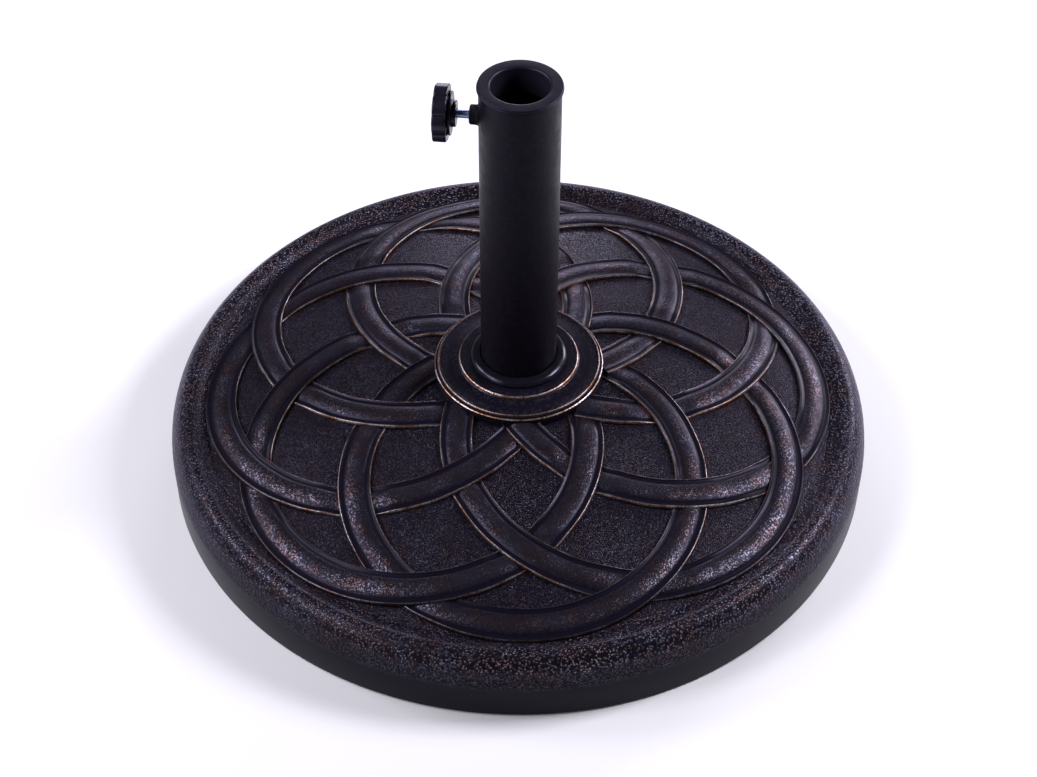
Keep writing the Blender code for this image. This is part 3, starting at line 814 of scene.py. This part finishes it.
def make_screw(material):
    """Screw with a rolled M6 thread as a helix, its spigot and its hexagonal head."""
    spigot, crest, root, half_flats = 1.2 * MM, 2.95 * MM, 2.42 * MM, 5.0 * MM
    shank_end = SCREW_TIP + 1.7 * MM
    head_back, head_front = GRIP_FRONT - 7.3 * MM, GRIP_FRONT - 3.3 * MM
    rings = [(steady(spigot - 0.2 * MM), SCREW_TIP), (steady(spigot), SCREW_TIP + 0.2 * MM)]
    rings += [(steady(spigot), shank_end), (steady(root), shank_end)]
    rings += thread_rings(shank_end + 0.3 * MM, head_back - 0.5 * MM, 1.0 * MM, crest, root)
    rings += [(steady(crest), head_back), (hexagon(half_flats), head_back)]
    rings += [(hexagon(half_flats), head_front - 0.5 * MM), (steady(half_flats), head_front)]
    return laid_on_screw_axis(ringed("screw_thread", rings, 48, material, closed=False))


def make_nut(material):
    """Nut with chamfered corners, a countersunk thread and a weld bead against the tube."""
    half_flats, chamfer, countersink, bead = 5.75 * MM, 0.8 * MM, 0.6 * MM, 7.0 * MM

    def tube_face(radius):
        """Distance of the tube's wall from its axis, where a ring of this radius meets it."""
        return lambda turn: math.sqrt(TUBE_RADIUS**2 - (radius * math.sin(turn)) ** 2) - 0.05 * MM

    def bead_face(turn):
        return tube_face(bead)(turn) + 0.6 * MM

    rings = [(steady(THREAD_BORE), tube_face(THREAD_BORE))]
    rings += [(steady(bead), tube_face(bead)), (steady(bead), bead_face)]
    rings += [(hexagon(half_flats + 0.3 * MM), lambda turn: bead_face(turn) + 0.4 * MM)]
    rings += [(hexagon(half_flats), NUT_INNER + 1.2 * MM), (hexagon(half_flats), NUT_OUTER - chamfer)]
    rings += [(smaller(hexagon(half_flats), steady(half_flats * 1.02)), NUT_OUTER)]
    rings += [(steady(THREAD_BORE + countersink), NUT_OUTER)]
    rings += [(steady(THREAD_BORE), NUT_OUTER - countersink)]
    return laid_on_screw_axis(ringed("nut_welded", rings, 96, material))


def make_tip(material):
    """Swivelling nylon tip with a rounded pressing face."""
    radius, socket, edge, chamfer = 2.4 * MM, 1.5 * MM, 0.7 * MM, 0.2 * MM
    floor = SCREW_TIP - 0.3 * MM
    outline = [(0, TIP_FACE)] + arc((radius - edge, TIP_FACE + edge), (edge, edge), -90, 0, 6)
    outline += [(radius, TIP_MOUTH - chamfer), (radius - chamfer, TIP_MOUTH)]
    outline += [(socket, TIP_MOUTH), (socket, floor), (0, floor)]
    return laid_on_screw_axis(turned("tip_turned", outline, 48, material))


# ---------------------------------------------------------------- underside


def make_pan(material):
    """Closing pan with a bead round each edge, seats for screws and feet, and radial ribs."""
    ribs, count = 12, 288
    web = PAN_FOOT + 0.9 * MM
    screws, screw_circle, screw_hole = 6, 150 * MM, 2.3 * MM
    hole = 36 * MM

    def ribbed(turn):
        """Lower face between seats: raised web, with a rib down to the pan's foot every 30 degrees."""
        across = abs((turn / (2 * math.pi) * ribs + 0.5) % 1 - 0.5) * count / ribs
        return web if across > 1.5 else PAN_FOOT

    # (radius in millimetres, lower face is recessed) from the hole out to the rim
    profile = [(36, False), (39, False), (40, True), (88, True), (89, False), (91, False), (92, True)]
    profile += [(142, True), (143, False), (157, False), (158, True), (210, True), (211, False)]
    profile += [(239, False), (240, True), (243, True), (243.8, False)]
    rings = [(steady(hole), PAN_TOP)]
    rings += [(steady(radius * MM), ribbed if recessed else PAN_FOOT) for radius, recessed in profile]
    rings += [(steady(PAN_RADIUS - 0.5 * MM), PAN_FOOT), (steady(PAN_RADIUS), PAN_FOOT + 0.5 * MM)]
    rings += [(steady(PAN_RADIUS), PAN_TOP)]
    pan = ringed("pan_moulding", rings, count, material)
    for step in range(screws):
        turn = 2 * math.pi * (step + 0.5) / screws
        centre = (screw_circle * math.cos(turn), screw_circle * math.sin(turn), 0)
        punch(pan, screw_hole, PAN_FOOT - 5 * MM, PAN_TOP + 5 * MM, Matrix.Translation(centre))
    return pan


def make_foot(name, centre, material):
    """Rubber foot with a rounded edge, a groove and a cup in its sole."""
    edge = 0.8 * MM
    outline = [(0, FOOT_TOP), (FOOT_RADIUS - 0.2 * MM, FOOT_TOP), (FOOT_RADIUS, FOOT_TOP - 0.2 * MM)]
    outline += arc((FOOT_RADIUS - edge, edge), (edge, edge), 0, -90, 6)
    groove, cup = ((8.6, 0), (8.2, 0.6), (7.2, 0.6), (6.8, 0)), ((3.6, 0), (3.2, 1.1), (0, 1.1))
    outline += in_metres(groove + cup)
    foot = turned(name, outline, 64, material)
    foot.data.transform(Matrix.Translation(centre))
    return foot


def make_pan_screw(name, centre, material):
    """Self-tapping screw with a domed head, a cross recess and a coarse thread."""
    top = PAN_FOOT - 0.3 * MM
    low = top - 1.6 * MM
    # (radius, height) of the head in millimetres above its lowest point
    head = ((0.6, 0.0), (2.0, 0.1), (3.2, 0.4), (3.8, 0.9), (4.0, 1.3))
    rings = [(steady(radius * MM), low + height * MM) for radius, height in head]
    rings += [(steady(head[-1][0] * MM), top), (steady(1.9 * MM), top)]
    rings += thread_rings(top + 0.4 * MM, top + 11.5 * MM, 1.4 * MM, 2.0 * MM, 1.45 * MM, 6)
    rings += [(steady(0.3 * MM), top + 14 * MM)]
    slot_size = (4.4 * MM, 0.75 * MM, 2.2 * MM)
    screw = ringed(name, rings, 32, material, closed=False)
    for turn in (0, 90):
        slot = bmesh.new()
        bmesh.ops.create_cube(slot, size=1)
        bmesh.ops.scale(slot, verts=slot.verts, vec=slot_size)
        slot.transform(Matrix.Translation((0, 0, low)) @ Matrix.Rotation(math.radians(turn), 4, "Z"))
        take_away(screw, slot)
    screw.data.transform(Matrix.Translation(centre))
    return screw


def make_washer(material):
    """Clamping washer with rounded edges."""
    low, high = corners("clamp_washer")
    edge, hole = 0.5 * MM, 5.3 * MM
    outline = [(hole, low.z), (high.x - edge, low.z)]
    outline += arc((high.x - edge, low.z + edge), (edge, edge), -90, 0, 4)[1:]
    outline += arc((high.x - edge, high.z - edge), (edge, edge), 0, 90, 4) + [(hole, high.z)]
    return turned("washer_pressed", outline, 96, material)


def make_lock_washer(material):
    """Split spring washer whose two ends stand a little apart."""
    low, high = corners("lock_washer")
    inner, outer, lean = 5.3 * MM, high.x, 0.5 * MM
    steps, gap = 72, math.radians(9)
    vertices, faces = [], []
    for i in range(steps + 1):
        turn = gap / 2 + (2 * math.pi - gap) * i / steps
        slope = lean * (i / steps - 0.5)
        foot, top = low.z + lean / 2 + slope, high.z - lean / 2 + slope
        for radius, height in ((inner, foot), (outer, foot), (outer, top), (inner, top)):
            vertices.append((radius * math.cos(turn), radius * math.sin(turn), height))
    for i in range(steps):
        for k in range(4):
            m = (k + 1) % 4
            faces.append((4 * i + k, 4 * i + m, 4 * i + 4 + m, 4 * i + 4 + k))
    faces += [(0, 1, 2, 3), (4 * steps, 4 * steps + 1, 4 * steps + 2, 4 * steps + 3)]
    return object_from("washer_split", vertices, faces, material)


def make_bolt(material):
    """Hexagon bolt with a chamfered head, a washer face and a threaded end."""
    low, high = corners("clamp_bolt")
    half_flats, shank = 8.5 * MM, 5.0 * MM
    head_top = corners("lock_washer")[0].z - 0.3 * MM
    outer, washer_face, step = hexagon(half_flats), steady(half_flats * 0.97), head_top - 0.4 * MM
    rings = [(steady(half_flats * 0.62), low.z + 0.3 * MM), (steady(half_flats * 0.66), low.z)]
    rings += [(washer_face, low.z), (smaller(outer, steady(half_flats * 1.04)), low.z + 0.4 * MM)]
    rings += [(outer, low.z + 1.3 * MM), (outer, step), (washer_face, step), (washer_face, head_top)]
    rings += [(steady(shank), head_top)]
    rings += thread_rings(head_top + 4 * MM, high.z - 1.2 * MM, 1.5 * MM, shank, shank - 0.8 * MM)
    rings += [(steady(shank - 1.2 * MM), high.z)]
    return ringed("bolt_forged", rings, 48, material, closed=False)


# ---------------------------------------------------------------- stage


def make_floor():
    """Pale studio floor."""
    look = Look("studio_floor", (0.95, 0.97, 0.95), 0.9, specular=0.1)
    shape = bmesh.new()
    bmesh.ops.create_grid(shape, x_segments=1, y_segments=1, size=6.0)
    mesh = bpy.data.meshes.new("studio_floor")
    shape.to_mesh(mesh)
    shape.free()
    mesh.materials.append(look.material)
    floor = bpy.data.objects.new("studio_floor", mesh)
    bpy.context.scene.collection.objects.link(floor)


def make_lights():
    """Even dim surroundings and soft boxes, all aimed at the middle of the disc."""
    scene = bpy.context.scene
    world = bpy.data.worlds.new("studio")
    world.use_nodes = True
    background = world.node_tree.nodes["Background"]
    background.inputs["Color"].default_value = (1.0, 1.0, 1.0, 1.0)
    background.inputs["Strength"].default_value = 0.05
    scene.world = world
    scene.view_settings.view_transform = "Standard"

    # name, azimuth from +X and elevation in degrees, power in watts
    softboxes = (
        ("right_box", 12, 40, 23),
        ("left_box", 172, 36, 9),
        ("front_left_box", -160, 47, 9),
        ("front_box", -140, 31, 6),
        ("back_right_box", 50, 15, 11),
        ("back_box", 95, 15, 5),
    )
    distance, size, color = 1.6, 0.5, (0.92, 0.88, 1.0)
    target = Vector((0, 0, 0.08))
    for name, azimuth, elevation, power in softboxes:
        light = bpy.data.lights.new(name, "AREA")
        light.shape = "SQUARE"
        light.size = size
        light.energy = power
        light.color = color
        lamp = bpy.data.objects.new(name, light)
        scene.collection.objects.link(lamp)
        turn, tilt = math.radians(azimuth), math.radians(elevation)
        away = Vector((math.cos(turn) * math.cos(tilt), math.sin(turn) * math.cos(tilt), math.sin(tilt)))
        lamp.location = target + away * distance
        lamp.rotation_euler = away.to_track_quat("Z", "Y").to_euler()


def make_camera():
    """Camera in front, a little to the right, and 45 degrees above the disc."""
    swing, roll = math.radians(5.3), math.radians(0.327)
    # Distances in disc radii
    aim_height, eye_distance, eye_height = 0.2056, 4.098, 4.2888
    target = Vector((0, 0, aim_height * BASE_RADIUS))
    level = Vector((math.sin(swing), -math.cos(swing), 0))
    place = level * (eye_distance * BASE_RADIUS) + Vector((0, 0, eye_height * BASE_RADIUS))
    camera = bpy.data.cameras.new("camera")
    camera.lens = 69.8
    camera.sensor_width = 36.0
    eye = bpy.data.objects.new("camera", camera)
    bpy.context.scene.collection.objects.link(eye)
    aim = (target - place).to_track_quat("-Z", "Y").to_matrix().to_4x4()
    eye.matrix_world = Matrix.Translation(place) @ aim @ Matrix.Rotation(roll, 4, "Z")
    bpy.context.scene.camera = eye


# ---------------------------------------------------------------- assembly


def dress(piece, body, slot, *nodes, angle=35):
    """Smooth a piece and put it on its body in place of CAD nodes, which are hidden; the slot is not used."""
    smooth(piece, angle)
    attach(piece, body)
    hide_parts(*nodes)


def main():
    make_camera()
    make_floor()
    make_lights()
    powder, zinc, nylon = powder_look(), zinc_look(), nylon_look()
    knob_plastic = plastic_look("knob_plastic", (0.009, 0.0085, 0.015), 0.30, 0.03 * MM)
    pan_plastic = plastic_look("pan_plastic", (0.018, 0.018, 0.020), 0.55, 0.08 * MM)
    foot_rubber = plastic_look("foot_rubber", (0.015, 0.015, 0.015), 0.7, 0.05 * MM)
    dress(make_casting(casting_look()), "stand", "cast_shell", "cast_shell", angle=32)
    dress(make_tube(powder), "stand", "powder_coat", "tube")
    dress(make_gasket(rubber_look()), "stand", "gasket_rubber", "tube_gasket")
    dress(make_bush(bush_look()), "reducer", "bush_plastic", "reducer_bush")
    dress(make_grip(knob_plastic), "knob", "knob_plastic", "knob_grip", angle=30)
    dress(make_cap(knob_plastic), "knob", "knob_plastic", "knob_cap", angle=30)
    dress(make_screw(zinc), "knob", "screw_zinc", "clamp_screw", angle=40)
    dress(make_nut(powder), "stand", "nut_black", "weld_nut", angle=30)
    dress(make_tip(nylon), "tip", "nylon", "pressure_tip")
    dress(make_pan(pan_plastic), "stand", "pan_plastic", "underside_pan", angle=25)
    for node in frame["nodes"]:
        low, high = corners(node)
        centre = ((low.x + high.x) / 2, (low.y + high.y) / 2, 0)
        if node.startswith("foot_"):
            dress(make_foot(node + "_moulded", centre, foot_rubber), "stand", "foot_rubber", node)
        elif node.startswith("pan_screw_"):
            dress(make_pan_screw(node + "_turned", centre, zinc), "stand", "zinc_steel", node)
    dress(make_washer(zinc), "stand", "zinc_steel", "clamp_washer")
    dress(make_lock_washer(zinc), "stand", "zinc_steel", "lock_washer")
    dress(make_bolt(zinc), "stand", "zinc_steel", "clamp_bolt", angle=30)

    # These two keep their CAD meshes
    for name, material in (("ballast_core", cement_look()), ("tube_end_plug", zinc)):
        materials = frame["nodes"][name].data.materials
        materials.clear()
        materials.append(material)


main()
